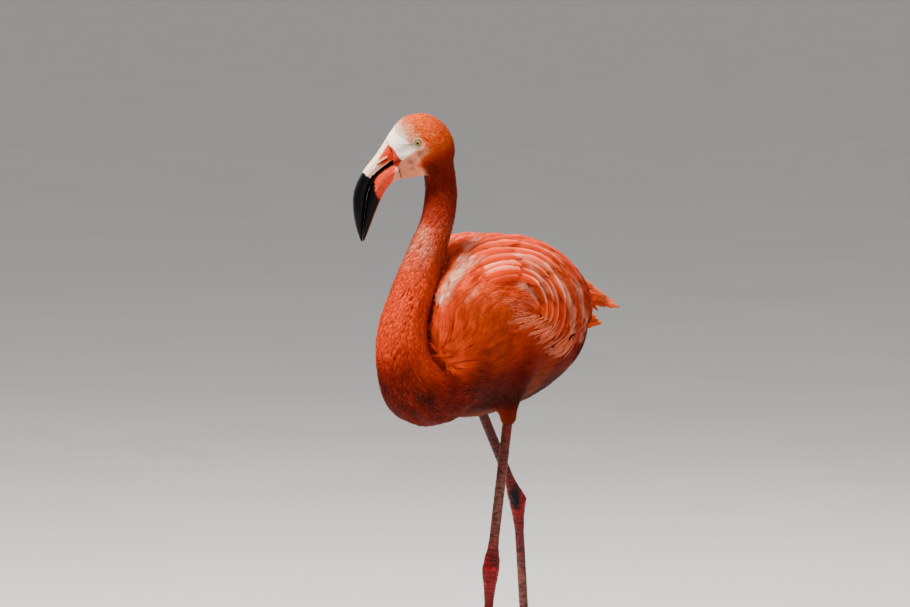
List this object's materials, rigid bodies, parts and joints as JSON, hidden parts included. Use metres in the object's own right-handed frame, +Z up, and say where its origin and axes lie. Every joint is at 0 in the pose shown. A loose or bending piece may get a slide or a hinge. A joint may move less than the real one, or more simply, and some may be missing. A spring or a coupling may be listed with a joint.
{
  "type": "american flamingo",
  "caption": "Life-size standing flamingo in mid-stride, head turned to its right, long curved neck, bent bill, folded wings, webbed feet flat on the floor.",
  "frame": {"origin": "centre of the bird's bounding box, at floor height", "axes": "the body faces -Y, its left side is +X, +Z up; the head is turned about 57 degrees to the bird's right"},
  "size_m": [0.1906, 0.5013, 0.8396],
  "materials": {
    "plumage": "soft overlapping feathers, matte",
    "wing": "smooth vaned feathers, faint sheen",
    "bare_skin": "scaled bare skin, satin",
    "bill": "horn, satin, glossy black at the end",
    "eye": "wet gloss",
    "claw": "horn, satin"
  },
  "bodies": {
    "root": {"head": "plumage", "neck_upper": "plumage", "neck_middle": "plumage", "neck_lower": "plumage", "trunk": "plumage", "tail": "plumage", "bill_upper": "bill", "bill_lower": "bill", "wing_left": "wing", "thigh_left": "plumage", "shin_left": "bare_skin", "ankle_left": "bare_skin", "shank_left": "bare_skin", "foot_left": "bare_skin", "eye_left": "eye", "claw_left_inner": "claw", "claw_left_middle": "claw", "claw_left_outer": "claw", "claw_left_hind": "claw", "wing_right": "wing", "thigh_right": "plumage", "shin_right": "bare_skin", "ankle_right": "bare_skin", "shank_right": "bare_skin", "foot_right": "bare_skin", "eye_right": "eye", "claw_right_inner": "claw", "claw_right_middle": "claw", "claw_right_outer": "claw", "claw_right_hind": "claw"}
  },
  "joints": []
}
